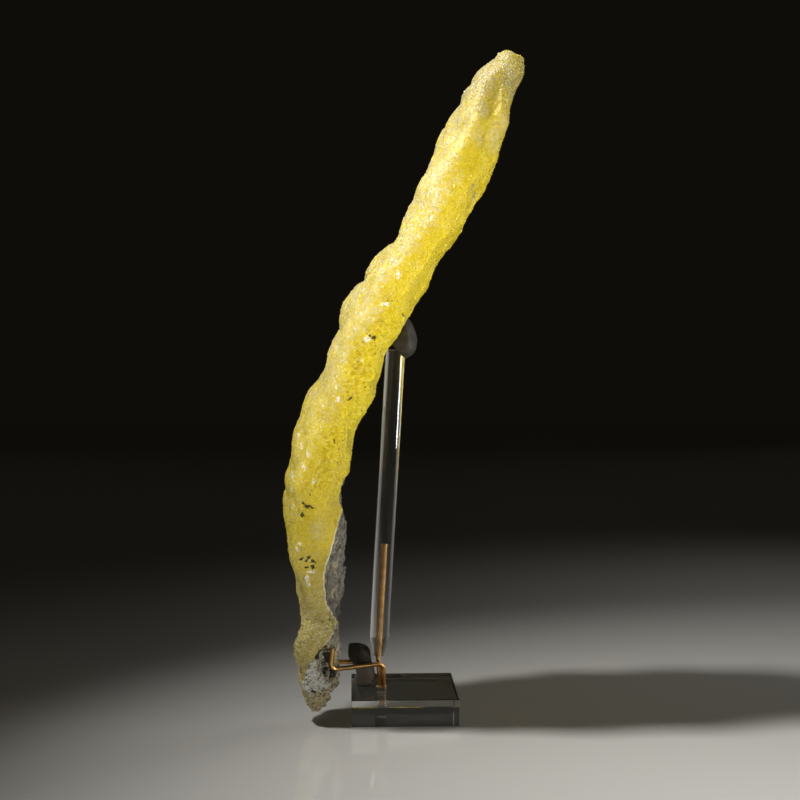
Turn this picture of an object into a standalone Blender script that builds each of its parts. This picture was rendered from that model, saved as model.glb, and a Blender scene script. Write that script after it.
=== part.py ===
"""Brucite specimen on its clear stand.

A leaf-shaped plate of yellow brucite, grown over grey matrix, leans back on a clear rod. Two wire prongs hold
its pointed lower end. The model is in metres with +Z up. The origin is the centre of the block's underside,
+X is the side that the plate leans to, and -Y is the plate's near edge.
"""

import math
from collections import namedtuple

import bmesh
import bpy
import numpy as np
from mathutils import Euler, Vector, noise

MM = 0.001
WELD = 0.001 * MM
TOUCH_GAP = 0.3 * MM
SHARP_ANGLE = math.radians(40)

# Clear block and the blind hole that takes the pin and the front prong
BLOCK_SIDE = 50.8 * MM
BLOCK_HEIGHT = 12.7 * MM
BLOCK_EDGE = 0.4 * MM
HOLE_X = -10.7 * MM
HOLE_RADIUS = 2.65 * MM
HOLE_FLOOR = 5.6 * MM
DRILL_POINT_ANGLE = math.radians(59)

# Finishes
CLEAR = (0.95, 0.95, 0.95)
CLEAR_ROUGHNESS = 0.05
ACRYLIC_IOR = 1.49
BRUCITE_YELLOW = (0.80, 0.66, 0.10)
COPPER = (0.60, 0.33, 0.13)
PUTTY_GREY = (0.16, 0.14, 0.12)

# Wires
WIRE_RADIUS = 1.1 * MM
WIRE_END = HOLE_FLOOR + 0.1 * MM
PAIR_OFFSET = WIRE_RADIUS + TOUCH_GAP / 2
PAIR_TURN = math.radians(40)
BEND_RADIUS = 3.2 * MM
WIRE_ROUNDNESS = 3
BEND_STEPS = 5

PIN_TURN_HEIGHT = 4.0 * MM
PIN_BEND_RADIUS = 12.0 * MM
PIN_BEND_STEPS = 3

# Clear rod, leaning over the block
ROD_RADIUS = 9.525 * MM / 2
ROD_FOOT = Vector((-12.3, 0.8, 27.9)) * MM
ROD_HEAD = Vector((-3.8, 0.8, 176.9)) * MM
ROD_LENGTH = (ROD_HEAD - ROD_FOOT).length
ROD_TAPER = 8.0 * MM
ROD_FOOT_RADIUS = 2.6 * MM
ROD_HEAD_EDGE = 0.5 * MM
BORE_RADIUS = WIRE_RADIUS + TOUCH_GAP
BORE_DEPTH = 56.3 * MM
ROD_SIDES = 32

# Prongs: the corners of each bent wire, from the stand to the hook
FRONT_PRONG_CORNERS = ((-35.3, -16.0, 24.9), (-34.2, -16.0, 35.4))
REAR_PRONG_CORNERS = ((-17.4, 0.6, 24.8), (-34.9, -0.4, 24.8), (-34.3, -0.4, 34.6))
PRONG_SHOULDER = 24.0 * MM

# Plate: height and centre of each station, thickness, near and far edge, and how far the matrix is cut away
# behind the near edge. All in millimetres.
Station = namedtuple("Station", "z x thickness near far undercut")
PLATE = (
    Station(5.6, -41.6, 3.4, -18.5, -14.5, 0.0),
    Station(10.0, -41.2, 10.4, -20.5, -11.0, 1.0),
    Station(18.0, -40.6, 17.6, -23.5, -4.5, 3.0),
    Station(27.0, -40.6, 20.2, -24.5, 1.5, 4.0),
    Station(37.0, -41.2, 20.8, -26.5, 5.5, 4.0),
    Station(46.0, -39.8, 19.0, -27.0, 6.0, 5.0),
    Station(54.0, -37.9, 18.4, -27.5, 5.0, 8.0),
    Station(63.0, -38.6, 23.2, -29.0, 5.5, 9.5),
    Station(74.0, -40.9, 25.4, -31.5, 9.5, 8.5),
    Station(85.0, -41.8, 28.4, -32.0, 16.0, 6.0),
    Station(97.0, -42.6, 28.6, -32.5, 21.5, 3.0),
    Station(108.0, -44.3, 27.6, -34.5, 26.0, 0.0),
    Station(120.0, -41.0, 28.8, -35.5, 30.0, 0.0),
    Station(130.0, -39.2, 28.0, -36.0, 32.5, 0.0),
    Station(140.0, -37.8, 26.4, -36.5, 32.5, 0.0),
    Station(152.0, -31.4, 27.0, -39.0, 35.5, 0.0),
    Station(163.0, -25.6, 26.4, -40.5, 39.5, 0.0),
    Station(173.0, -23.7, 27.2, -40.0, 42.0, 0.0),
    Station(183.0, -20.3, 26.8, -40.5, 42.0, 0.0),
    Station(193.0, -13.7, 30.6, -42.5, 44.0, 0.0),
    Station(203.0, -9.0, 28.8, -43.5, 47.5, 0.0),
    Station(213.0, -1.8, 28.2, -42.0, 46.5, 0.0),
    Station(223.0, 5.4, 22.2, -41.0, 44.0, 0.0),
    Station(236.0, 13.9, 24.6, -42.0, 45.0, 0.0),
    Station(250.0, 19.9, 27.2, -40.0, 45.0, 0.0),
    Station(264.0, 27.8, 27.8, -37.0, 40.5, 0.0),
    Station(279.0, 32.6, 27.6, -36.5, 37.0, 0.0),
    Station(290.0, 38.0, 23.4, -33.5, 33.5, 0.0),
    Station(299.0, 40.5, 21.8, -29.0, 27.0, 0.0),
    Station(307.0, 45.4, 19.6, -25.5, 21.5, 0.0),
    Station(311.5, 49.4, 17.0, -23.0, 18.0, 0.0),
    Station(316.2, 50.6, 14.0, -20.0, 15.0, 0.0),
)

# How far each cross-section of the plate leans from level, in degrees, by height in millimetres
LEAN_HEIGHTS = (5.6, 70.0, 125.0, 155.0, 190.0, 225.0, 260.0, 295.0, 316.2)
LEAN_ANGLES = (0.0, 0.0, 8.0, 19.0, 28.0, 29.0, 25.0, 25.0, 15.0)

PLATE_RINGS = 70
PLATE_SIDES = 50
SECTION_SQUARENESS = 2.7
SECTION_SAMPLES = 720
UNDERCUT_LENGTH = 27.0 * MM
BREAK_RINGS = (0.72, 0.38)

# Botryoidal domes of the crust
DOME_SPACING = 17.0 * MM
DOME_REACH = (0.70, 0.98)
DOME_STEEPNESS = (0.34, 0.50)
DOME_SINK = 0.88
CRUST_SEED = 11
EDGE_SHARE = 0.55

# Which way the surface has to face to be the plate's back, its crusted front or its near edge
BACK_FACING = (0.15, 0.6)
FRONT_FACING = (0.1, 0.7)
EDGE_FACING = (0.3, 0.9)

# Broad swells of the crust
SWELL_LENGTH = 26.0 * MM
SWELL_HEIGHT = 1.8 * MM
SWELL_PLACE = Vector((4.2, 1.3, 8.8))

# Rough matrix
MATRIX_ROUGHNESS = 3.2 * MM
MATRIX_GRAIN = 13.0 * MM
RIDGES = (0.9, 2.1, 3, 0.8, 1.6)
TIP_TOP = 44.0 * MM
TIP_BOTTOM = 26.0 * MM
TIP_FADE = 6.0 * MM
TOP_FADE = 9.0 * MM
PAD_SEAT = (10.0 * MM, 20.0 * MM)
SEAT_DIP = 1.2 * MM

# Putty pad between the rod's head and the plate: a drop that is narrower at the top, with three sides pressed flat.
# Each pressed side is given by how far it lies from the centre and which way it faces.
PAD_CENTRE = Vector((-0.4, 0.0, 182.8)) * MM
PAD_HALF_SIZES = (7.4 * MM, 8.8 * MM, 10.4 * MM)
PAD_NARROWING = 0.3
PAD_PRESSED = (
    (6.3 * MM, Vector((-0.74, 0.0, -0.67))),
    (7.2 * MM, Vector((-0.30, -0.95, 0.05))),
    (6.2 * MM, Vector((0.85, -0.50, 0.15))),
)
PAD_SUBDIVISIONS = 3
PLATE_GAP = 0.4 * MM

# Putty lump on the block: height, centre and half width from side to side, centre and half width in depth.
# The square makes its sides flatter and its corners tighter than those of a round column.
PUTTY_STACK = (
    (13.0, -19.4, 3.7, 0.6, 3.4),
    (13.8, -19.2, 4.3, 0.6, 4.0),
    (15.4, -18.4, 4.4, 0.7, 4.3),
    (18.5, -18.2, 4.5, 0.8, 4.5),
    (21.5, -19.0, 4.7, 1.0, 4.5),
    (23.8, -20.2, 5.1, 1.2, 4.8),
    (25.6, -21.3, 5.5, 1.4, 5.3),
    (27.5, -21.8, 5.6, 1.5, 5.5),
    (30.0, -21.9, 5.4, 1.5, 5.3),
    (31.6, -22.2, 4.9, 1.5, 4.9),
    (33.0, -22.9, 3.4, 1.5, 3.6),
)
PUTTY_SIDES = 24
PUTTY_SQUARE = 0.72

# Unevenness of the hand-pressed putty and of the hollows
PUTTY_PLACE = Vector((3.1, 7.7, 1.9))
PUTTY_GRAIN = 6.0 * MM
PUTTY_BUMP = 0.9 * MM

# The hollows in the plate's lower end that the hooks sit in: centre, half sizes
NEAR_NOTCH = (Vector((-34.8, -21.5, 29.5)) * MM, (7.0 * MM, 8.0 * MM, 9.5 * MM))
FAR_NOTCH = (Vector((-31.5, 1.0, 29.5)) * MM, (4.5 * MM, 5.0 * MM, 8.0 * MM))
NOTCH_SUBDIVISIONS = 2


def clear_scene():
    for item in list(bpy.data.objects):
        bpy.data.objects.remove(item, do_unlink=True)


def material(name, colour, roughness, metallic=0.0, transmission=0.0, ior=1.5):
    finish = bpy.data.materials.new(name)
    finish.use_nodes = True
    shader = finish.node_tree.nodes["Principled BSDF"]
    shader.inputs["Base Color"].default_value = (*colour, 1.0)
    shader.inputs["Roughness"].default_value = roughness
    shader.inputs["Metallic"].default_value = metallic
    shader.inputs["Transmission Weight"].default_value = transmission
    shader.inputs["IOR"].default_value = ior
    return finish


def add_object(name, data, finish=None):
    item = bpy.data.objects.new(name, data)
    bpy.context.scene.collection.objects.link(item)
    if finish:
        data.materials.append(finish)
    return item


def mesh_object(name, bm, finish=None, smooth=True):
    mesh = bpy.data.meshes.new(name)
    bm.to_mesh(mesh)
    bm.free()
    if smooth:
        mesh.shade_smooth()
        mesh.set_sharp_from_angle(angle=SHARP_ANGLE)
    return add_object(name, mesh, finish)


def make_cutter(item):
    item.hide_render = True
    item.display_type = "WIRE"
    return item


def cut(item, cutter):
    difference = item.modifiers.new("cut " + cutter.name, "BOOLEAN")
    difference.operation = "DIFFERENCE"
    difference.solver = "EXACT"
    difference.object = cutter


def rolled_skin(rings):
    """A closed skin over rings of equal length: a grid rolled into a tube, with a fan of faces at each end."""
    around, along = len(rings[0]), len(rings) - 1
    bm = bmesh.new()
    bmesh.ops.create_grid(bm, x_segments=around, y_segments=along, size=1.0)
    for vert in bm.verts:
        column = round((vert.co.x + 1.0) / 2.0 * around) % around
        row = round((vert.co.y + 1.0) / 2.0 * along)
        vert.co = rings[row][column]
    bmesh.ops.remove_doubles(bm, verts=bm.verts, dist=WELD)
    rims = [edge for edge in bm.edges if edge.is_boundary]
    caps = bmesh.ops.edgeloop_fill(bm, edges=rims)["faces"]
    bmesh.ops.poke(bm, faces=caps)
    bmesh.ops.recalc_face_normals(bm, faces=bm.faces)
    return bm


def turned_solid(profile, sides):
    """A closed solid turned about Z from a profile of (radius, height) points that starts and ends on the axis."""
    bm = bmesh.new()
    points = [bm.verts.new((radius, 0.0, height)) for radius, height in profile]
    edges = [bm.edges.new(pair) for pair in zip(points, points[1:])]
    bmesh.ops.spin(bm, geom=points + edges, cent=(0, 0, 0), axis=(0, 0, 1), angle=2 * math.pi,
                   steps=sides, use_merge=True)
    bmesh.ops.remove_doubles(bm, verts=bm.verts, dist=WELD)
    bmesh.ops.recalc_face_normals(bm, faces=bm.faces)
    return bm


def bent_path(corners, radius, steps=BEND_STEPS):
    """The corners joined by straight runs, with each inner corner rounded to a radius."""
    corners = [Vector(corner) for corner in corners]
    path = [corners[0]]
    for before, corner, after in zip(corners, corners[1:], corners[2:]):
        back, ahead = (before - corner).normalized(), (after - corner).normalized()
        half = back.angle(ahead) / 2
        centre = corner + (back + ahead).normalized() * radius / math.sin(half)
        start = corner + back * radius / math.tan(half) - centre
        end = corner + ahead * radius / math.tan(half) - centre
        for step in range(steps + 1):
            path.append(centre + start.slerp(end, step / steps).normalized() * radius)
    path.append(corners[-1])
    return path


def wire(name, path, radius, finish=None):
    """A round wire along a path, with flat ends."""
    curve = bpy.data.curves.new(name, "CURVE")
    curve.dimensions = "3D"
    curve.bevel_depth = radius
    curve.bevel_resolution = WIRE_ROUNDNESS
    curve.use_fill_caps = True
    spline = curve.splines.new("POLY")
    spline.points.add(len(path) - 1)
    for knot, place in zip(spline.points, path):
        knot.co = (*place, 1.0)
    return add_object(name, curve, finish)


def room_for_wire(name, path):
    """A cutter that leaves the touching gap all round a wire, and past both its ends."""
    path = [Vector(place) for place in path]
    path[0] += (path[0] - path[1]).normalized() * TOUCH_GAP
    path[-1] += (path[-1] - path[-2]).normalized() * TOUCH_GAP
    fat = wire(name + " guide", path, WIRE_RADIUS + TOUCH_GAP)
    bpy.context.view_layer.update()
    mesh = bpy.data.meshes.new_from_object(fat.evaluated_get(bpy.context.evaluated_depsgraph_get()))
    bpy.data.objects.remove(fat, do_unlink=True)
    bm = bmesh.new()
    bm.from_mesh(mesh)
    bmesh.ops.remove_doubles(bm, verts=bm.verts, dist=WELD)
    bmesh.ops.recalc_face_normals(bm, faces=bm.faces)
    return make_cutter(mesh_object(name, bm, smooth=False))


def through_points(knots, values, at):
    """A smooth curve through the values at the knots, read at each place in at."""
    knots, values, at = (np.asarray(item, dtype=float) for item in (knots, values, at))
    slopes = np.gradient(values, knots)
    index = np.clip(np.searchsorted(knots, at, side="right") - 1, 0, len(knots) - 2)
    width = knots[index + 1] - knots[index]
    t = (at - knots[index]) / width
    return ((2 * t ** 3 - 3 * t ** 2 + 1) * values[index] + (t ** 3 - 2 * t ** 2 + t) * width * slopes[index]
            + (3 * t ** 2 - 2 * t ** 3) * values[index + 1] + (t ** 3 - t ** 2) * width * slopes[index + 1])


def smooth_step(low, high, value):
    t = np.clip((value - low) / (high - low), 0.0, 1.0)
    return t * t * (3.0 - 2.0 * t)


def section(width, thickness, undercut, sides):
    """One cross-section of the plate, as (across, along the width) points that start at its back near corner.

    It is a rounded slab. Its back slopes away from the near edge by the undercut.
    """
    fine = np.linspace(0.0, 2.0 * math.pi, SECTION_SAMPLES, endpoint=False)
    power = 2.0 / SECTION_SQUARENESS
    along = -np.sign(np.cos(fine)) * np.abs(np.cos(fine)) ** power * width / 2
    across = np.sign(np.sin(fine)) * np.abs(np.sin(fine)) ** power * thickness / 2
    slope = np.clip(1.0 - (along + width / 2) / min(UNDERCUT_LENGTH, width), 0.0, 1.0)
    limit = thickness / 2 - undercut * slope
    corner = int(np.argmax(across >= limit - thickness / PLATE_SIDES))
    across = np.minimum(across, limit)
    points = np.roll(np.stack([across, along], axis=1), -corner, axis=0)
    points = np.vstack([points, points[:1]])
    length = np.concatenate([[0.0], np.cumsum(np.linalg.norm(np.diff(points, axis=0), axis=1))])
    wanted = np.linspace(0.0, length[-1], sides, endpoint=False)
    return np.stack([np.interp(wanted, length, points[:, axis]) for axis in (0, 1)], axis=1)


def plate_rings():
    """The plate's cross-sections from the tip to the broken top, and the smaller rings of the break."""
    table = np.array(PLATE)
    heights = table[:, 0]
    rise = np.hypot(np.diff(heights), np.diff(table[:, 1]))
    travel = np.concatenate([[0.0], np.cumsum(rise)])
    levels = np.interp(np.linspace(0.0, travel[-1], PLATE_RINGS), travel, heights)
    x, thickness, near, far, undercut = (
        through_points(heights, table[:, column], levels) * MM for column in range(1, 6))
    lean = np.radians(np.interp(levels, LEAN_HEIGHTS, LEAN_ANGLES))
    rings = []
    for row, level in enumerate(levels):
        across, along = section(far[row] - near[row], thickness[row], undercut[row], PLATE_SIDES).T
        middle = (far[row] + near[row]) / 2
        ring = np.stack([x[row] + across * math.cos(lean[row]), middle + along,
                         level * MM - across * math.sin(lean[row])], axis=1)
        rings.append(ring)
    centre = rings[-1].mean(axis=0)
    for size in BREAK_RINGS:
        rings.append(centre + (rings[PLATE_RINGS - 1] - centre) * size)
    return rings


def scatter(points, spacing, rng):
    """Points picked in a seeded order, none nearer to another than the spacing."""
    chosen = np.empty((0, 3))
    for index in rng.permutation(len(points)):
        apart = np.linalg.norm(chosen - points[index], axis=1)
        if not len(chosen) or apart.min() > spacing:
            chosen = np.vstack([chosen, points[index]])
    return chosen


def dome_relief(points, rng):
    """Height of the tallest dome over each point."""
    centres = scatter(points, DOME_SPACING, rng)
    reach = DOME_SPACING * rng.uniform(*DOME_REACH, len(centres))
    height = reach * rng.uniform(*DOME_STEEPNESS, len(centres))
    apart = np.linalg.norm(points[:, None, :] - centres[None, :, :], axis=2) / reach
    domes = height * np.sqrt(np.clip(1.0 - apart ** 2, 0.0, None))
    return domes.max(axis=1) - height.mean() * DOME_SINK


def swell_relief(points):
    """Broad swells under the domes, each several domes wide."""
    swell = [noise.noise(Vector(point / SWELL_LENGTH) + SWELL_PLACE) for point in points]
    return np.array(swell) * SWELL_HEIGHT


def matrix_relief(points):
    """Rough broken relief of the matrix: hollows and sharp ridges."""
    rough = np.array([noise.ridged_multi_fractal(Vector(point / MATRIX_GRAIN), *RIDGES) for point in points])
    return (rough - rough.mean()) * MATRIX_ROUGHNESS


def build_brucite():
    bm = rolled_skin(plate_rings())
    bm.normal_update()
    points = np.array([vert.co for vert in bm.verts])
    normals = np.array([vert.normal for vert in bm.verts])
    rng = np.random.default_rng(CRUST_SEED)
    lean = np.radians(np.interp(points[:, 2] / MM, LEAN_HEIGHTS, LEAN_ANGLES))
    facing_back = normals[:, 0] * np.cos(lean) - normals[:, 2] * np.sin(lean)
    back = smooth_step(*BACK_FACING, facing_back)
    front = smooth_step(*FRONT_FACING, -facing_back)
    near_edge = smooth_step(*EDGE_FACING, -normals[:, 1])
    matrix = np.maximum(back, smooth_step(TIP_TOP, TIP_BOTTOM, points[:, 2]))
    domes = dome_relief(points, rng) * (1.0 - (1.0 - EDGE_SHARE) * near_edge)
    height = (domes + swell_relief(points) * front) * (1.0 - matrix) + matrix_relief(points) * matrix
    from_pad = np.linalg.norm(points - np.array(PAD_CENTRE), axis=1)
    clear_of_pad = smooth_step(*PAD_SEAT, from_pad)
    height = height * clear_of_pad - SEAT_DIP * (1.0 - clear_of_pad)
    height *= smooth_step(0.0, TIP_FADE, points[:, 2] - points[:, 2].min())
    height *= smooth_step(0.0, TOP_FADE, points[:, 2].max() - points[:, 2])
    for vert, normal, raised in zip(bm.verts, normals, height):
        vert.co += Vector(normal * raised)
    bmesh.ops.triangulate(bm, faces=bm.faces)
    return mesh_object("brucite", bm, material("brucite", BRUCITE_YELLOW, roughness=0.45))


def build_block():
    bm = bmesh.new()
    bmesh.ops.create_cube(bm, size=1.0)
    bmesh.ops.scale(bm, vec=(BLOCK_SIDE, BLOCK_SIDE, BLOCK_HEIGHT), verts=bm.verts)
    bmesh.ops.translate(bm, vec=(0.0, 0.0, BLOCK_HEIGHT / 2), verts=bm.verts)
    bmesh.ops.bevel(bm, geom=bm.edges[:], offset=BLOCK_EDGE, affect="EDGES", segments=1, profile=0.5,
                    material=-1)
    finish = material("clear block", CLEAR, CLEAR_ROUGHNESS, transmission=1.0, ior=ACRYLIC_IOR)
    block = mesh_object("base_block", bm, finish, smooth=False)
    cone = HOLE_RADIUS / math.tan(DRILL_POINT_ANGLE)
    top = BLOCK_HEIGHT + BLOCK_EDGE
    profile = [(0.0, HOLE_FLOOR - cone), (HOLE_RADIUS, HOLE_FLOOR), (HOLE_RADIUS, top), (0.0, top)]
    drill = make_cutter(mesh_object("drill", turned_solid(profile, ROD_SIDES)))
    drill.location.x = HOLE_X
    cut(block, drill)
    return block


def place_on_rod(item):
    """Puts an object made about its own Z axis on the rod's axis."""
    axis = ROD_HEAD - ROD_FOOT
    item.location = ROD_FOOT
    item.rotation_euler = Euler((0.0, math.atan2(axis.x, axis.z), 0.0))
    return item


def build_rod():
    """A rod with a tapered foot and a blind bore up from it for the pin."""
    profile = [(0.0, BORE_DEPTH), (BORE_RADIUS, BORE_DEPTH - BORE_RADIUS / 2), (BORE_RADIUS, 0.0),
               (ROD_FOOT_RADIUS, 0.0), (ROD_RADIUS, ROD_TAPER), (ROD_RADIUS, ROD_LENGTH - ROD_HEAD_EDGE),
               (ROD_RADIUS - ROD_HEAD_EDGE, ROD_LENGTH), (0.0, ROD_LENGTH)]
    finish = material("clear rod", CLEAR, CLEAR_ROUGHNESS, transmission=1.0, ior=ACRYLIC_IOR)
    return place_on_rod(mesh_object("support_rod", turned_solid(profile, ROD_SIDES), finish))


def hole_place(side, height):
    """The centre of one of the two wires that share the hole: side is 1 for the prong and -1 for the pin."""
    across = Vector((math.cos(PAIR_TURN), -math.sin(PAIR_TURN), 0.0)) * PAIR_OFFSET
    return Vector((HOLE_X, 0.0, height)) + across * side


def pin_path():
    """Straight up out of the hole, then along the rod's axis."""
    axis = (ROD_HEAD - ROD_FOOT).normalized()
    hole = hole_place(-1, WIRE_END)
    turn = hole_place(-1, BLOCK_HEIGHT + PIN_TURN_HEIGHT)
    top = ROD_FOOT + axis * (BORE_DEPTH - BORE_RADIUS)
    return bent_path([hole, turn, ROD_FOOT - axis * WIRE_RADIUS, top], PIN_BEND_RADIUS, PIN_BEND_STEPS)


def front_prong_path():
    foot = hole_place(1, WIRE_END)
    shoulder = hole_place(1, PRONG_SHOULDER)
    hook = [Vector(corner) * MM for corner in FRONT_PRONG_CORNERS]
    return bent_path([foot, shoulder, *hook], BEND_RADIUS)


def rear_prong_path():
    return bent_path([Vector(corner) * MM for corner in REAR_PRONG_CORNERS], BEND_RADIUS)


def rough_blob(subdivisions, half_sizes):
    """An icosphere stretched to its half sizes, with an uneven surface."""
    bm = bmesh.new()
    bmesh.ops.create_icosphere(bm, subdivisions=subdivisions, radius=1.0)
    bmesh.ops.scale(bm, vec=half_sizes, verts=bm.verts)
    for vert in bm.verts:
        push = noise.noise(vert.co / PUTTY_GRAIN + PUTTY_PLACE) * PUTTY_BUMP
        vert.co += vert.co.normalized() * push
    bm.normal_update()
    return bm


def build_pad(plate, finish):
    """Putty pressed on the rod's head, with the print of the plate on one side."""
    bm = rough_blob(PAD_SUBDIVISIONS, PAD_HALF_SIZES)
    for vert in bm.verts:
        vert.co.x *= 1.0 - PAD_NARROWING * vert.co.z / PAD_HALF_SIZES[2]
        for distance, side in PAD_PRESSED:
            beyond = max(0.0, vert.co.dot(side) - distance)
            vert.co -= side * beyond
    pad = mesh_object("rod_pad", bm, finish)
    pad.location = PAD_CENTRE
    bm = bmesh.new()
    bm.from_mesh(plate.data)
    bm.normal_update()
    for vert in bm.verts:
        vert.co += vert.normal * PLATE_GAP
    cut(pad, make_cutter(mesh_object("plate print", bm, smooth=False)))
    radius, top = ROD_RADIUS + TOUCH_GAP, ROD_LENGTH + TOUCH_GAP
    socket = [(0.0, ROD_LENGTH / 2), (radius, ROD_LENGTH / 2), (radius, top), (0.0, top)]
    cut(pad, place_on_rod(make_cutter(mesh_object("rod print", turned_solid(socket, ROD_SIDES)))))
    return pad


def squared(share):
    """Pushes a sine or cosine outwards."""
    return math.copysign(abs(share) ** PUTTY_SQUARE, share)


def build_prong_putty(neighbours, finish):
    """A pinched column of putty on the block, with a wider, flat head round the rear prong."""
    rings = []
    for height, x, half_x, y, half_y in PUTTY_STACK:
        ring = []
        for side in range(PUTTY_SIDES):
            turn = 2 * math.pi * side / PUTTY_SIDES
            across, along = half_x * squared(math.cos(turn)), half_y * squared(math.sin(turn))
            place = Vector((x + across, y + along, height)) * MM
            push = noise.noise(place / PUTTY_GRAIN + PUTTY_PLACE) * PUTTY_BUMP
            ring.append(place + Vector((math.cos(turn), math.sin(turn), 0.0)) * push)
        rings.append(ring)
    lump = mesh_object("prong_putty", rolled_skin(rings), finish)
    for neighbour in neighbours:
        cut(lump, neighbour)
    return lump


def main():
    clear_scene()
    plate = build_brucite()
    build_block()
    build_rod()
    copper = material("copper wire", COPPER, roughness=0.3, metallic=1.0)
    paths = {"rod_pin": pin_path(), "front_prong": front_prong_path(), "rear_prong": rear_prong_path()}
    room = {}
    for name, path in paths.items():
        wire(name, path, WIRE_RADIUS, copper)
        room[name] = room_for_wire("room for " + name, path)
    for name, (centre, half_sizes) in {"near notch": NEAR_NOTCH, "far notch": FAR_NOTCH}.items():
        hollow = make_cutter(mesh_object(name, rough_blob(NOTCH_SUBDIVISIONS, half_sizes), smooth=False))
        hollow.location = centre
        cut(plate, hollow)
    cut(plate, room["front_prong"])
    cut(plate, room["rear_prong"])
    putty = material("putty", PUTTY_GREY, roughness=0.6)
    build_pad(plate, putty)
    build_prong_putty(room.values(), putty)


main()
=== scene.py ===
"""The finished look of a brucite specimen on its clear stand.

The file is laid out as a Blender add-on, with a panel in the 3D view's sidebar, and is run as a script. It
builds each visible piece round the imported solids, which are loaded first. Settings, the stage and values that
are multiplied by MM are in metres. The relief of the stone and the putty, and every place on them, is worked
out in millimetres, the scale at which it is seen. Waves that make a surface or an edge uneven have a height, a
size and a shift, which only makes one pattern unlike another.
"""

import math
from collections import namedtuple

import bmesh
import bpy
import numpy as np
from bpy.props import FloatProperty, FloatVectorProperty, IntProperty, PointerProperty
from mathutils import Euler, Matrix, Vector, noise


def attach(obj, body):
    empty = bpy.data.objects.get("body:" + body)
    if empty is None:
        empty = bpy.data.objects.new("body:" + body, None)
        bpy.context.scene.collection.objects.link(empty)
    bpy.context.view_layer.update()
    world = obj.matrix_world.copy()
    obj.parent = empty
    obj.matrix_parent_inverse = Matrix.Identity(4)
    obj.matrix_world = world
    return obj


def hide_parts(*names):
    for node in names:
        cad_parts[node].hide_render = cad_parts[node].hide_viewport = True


bl_info = {
    "name": "Brucite specimen on a clear stand",
    "version": (1, 0, 0),
    "blender": (4, 5, 0),
    "location": "3D View > Sidebar > Brucite",
    "description": "Builds the finished stone, wires, putty and clear stand round their packed solids",
    "category": "Object",
}

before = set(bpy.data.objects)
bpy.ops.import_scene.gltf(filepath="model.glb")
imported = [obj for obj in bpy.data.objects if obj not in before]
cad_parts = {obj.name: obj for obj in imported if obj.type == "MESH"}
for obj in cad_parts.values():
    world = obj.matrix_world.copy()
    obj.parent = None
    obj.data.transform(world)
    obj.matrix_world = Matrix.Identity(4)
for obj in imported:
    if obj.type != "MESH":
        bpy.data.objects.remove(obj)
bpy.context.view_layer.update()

MM = 0.001
WELD = 0.001 * MM
TOUCH_GAP = 0.3 * MM
SHARP_ANGLE = math.radians(40)
MACHINED_ANGLE = math.radians(10)

# Clear block and the blind hole in it
BLOCK_SIDE = 50.8 * MM
BLOCK_HEIGHT = 12.7 * MM
HOLE_X = -10.7 * MM
HOLE_RADIUS = 2.65 * MM
HOLE_FLOOR = 5.6 * MM
HOLE_SIDES = 64
DRILL_POINT_ANGLE = math.radians(59)

# Clear rod and the bore in its foot
ROD_RADIUS = 9.525 * MM / 2
ROD_FOOT = Vector((-12.3, 0.8, 27.9)) * MM
ROD_HEAD = Vector((-3.8, 0.8, 176.9)) * MM
ROD_AXIS = (ROD_HEAD - ROD_FOOT).normalized()
ROD_LENGTH = (ROD_HEAD - ROD_FOOT).length
ROD_TAPER = 8.0 * MM
ROD_FOOT_RADIUS = 2.6 * MM
ROD_HEAD_EDGE = 0.5 * MM
ROD_HEAD_ROUND = 0.15 * MM
ROD_SIDES = 96
BORE_DEPTH = 56.3 * MM

# Distances from the hole's axis and above the rod's foot at which the matte surface begins and is full
HOLE_FROSTING = (HOLE_RADIUS + 0.1 * MM, HOLE_RADIUS + 0.02 * MM)
FOOT_FROSTING = (ROD_TAPER + 0.4 * MM, ROD_TAPER - 0.6 * MM)

# Wires
WIRE_RADIUS = 1.1 * MM
WIRE_END_EDGE = 0.15 * MM
BORE_RADIUS = WIRE_RADIUS + TOUCH_GAP
CEMENT_BITE = 0.02 * MM
WIRE_END = HOLE_FLOOR + 0.1 * MM
PAIR_OFFSET = WIRE_RADIUS + TOUCH_GAP / 2
PAIR_TURN = math.radians(40)
BEND_RADIUS = 3.2 * MM
PIN_TURN_HEIGHT = 4.0 * MM
PIN_BEND_RADIUS = 12.0 * MM
PRONG_SHOULDER = 24.0 * MM
FRONT_PRONG_CORNERS = ((-35.3, -16.0, 24.9), (-34.2, -16.0, 35.4))
REAR_PRONG_CORNERS = ((-17.4, 0.6, 24.8), (-34.9, -0.4, 24.8), (-34.3, -0.4, 34.6))

# Putty: the size of its faces, the gap and the turn of the ridges that fingers left, its waves, and the range
# of heights in which the lump has a lighter, browner band of painted light
PUTTY_GRID = 0.35 * MM
RIDGE_GAP = 3.393 * MM
PUTTY_WAVES = ((0.28, 4.0, 0.0), (0.10, 1.4, 5.0))
LIT_BAND_RANGE = (12.5, 15.5, 22.0, 25.0)
PAD_RIDGES = (0.0, math.radians(-27), 0.0)
LUMP_RIDGES = (0.0, 0.0, math.radians(20))

# Bands to the metre of a wave pattern at a scale of 1
BANDS_TO_METRE = 20.0 / math.tau

# How far each cross-section of the plate leans from level, in degrees, by height
LEAN_HEIGHTS = (5.6, 70.0, 125.0, 155.0, 190.0, 225.0, 260.0, 295.0, 316.2)
LEAN_ANGLES = (0.0, 0.0, 8.0, 19.0, 28.0, 29.0, 25.0, 25.0, 15.0)

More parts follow.
